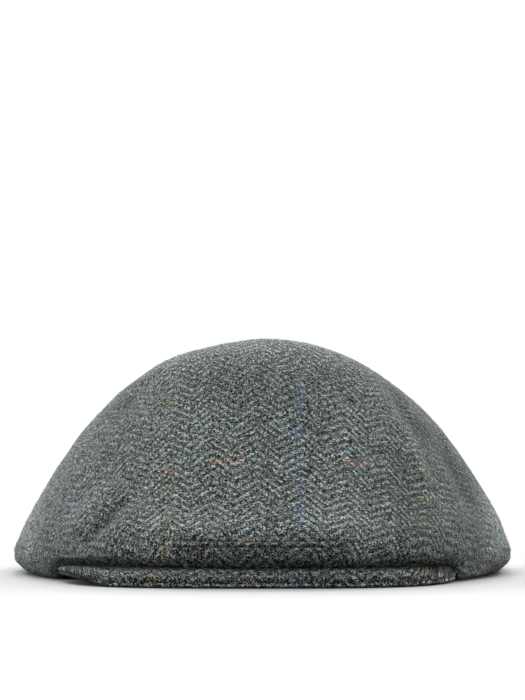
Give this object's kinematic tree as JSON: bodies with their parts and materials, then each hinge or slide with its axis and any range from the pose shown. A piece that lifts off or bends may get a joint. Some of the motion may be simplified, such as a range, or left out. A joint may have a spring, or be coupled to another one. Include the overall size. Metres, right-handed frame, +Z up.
{
  "type": "tweed flat cap",
  "caption": "Flat cap of herringbone tweed with a sewn-down front fold, a stiff crescent peak and low side panels.",
  "frame": {"origin": "centre of the cap's bounding box at the surface that it lies on", "axes": "+Z up, -Y towards the peak, +X towards the right side as seen from the front"},
  "size_m": [0.2342, 0.262, 0.1094],
  "materials": {
    "crown_tweed": "woolly",
    "side_tweed": "woolly",
    "peak_tweed": "woolly"
  },
  "bodies": {
    "root": {"crown_top": "crown_tweed", "side_panel_left": "side_tweed", "side_panel_right": "side_tweed", "peak": "peak_tweed"}
  },
  "joints": []
}
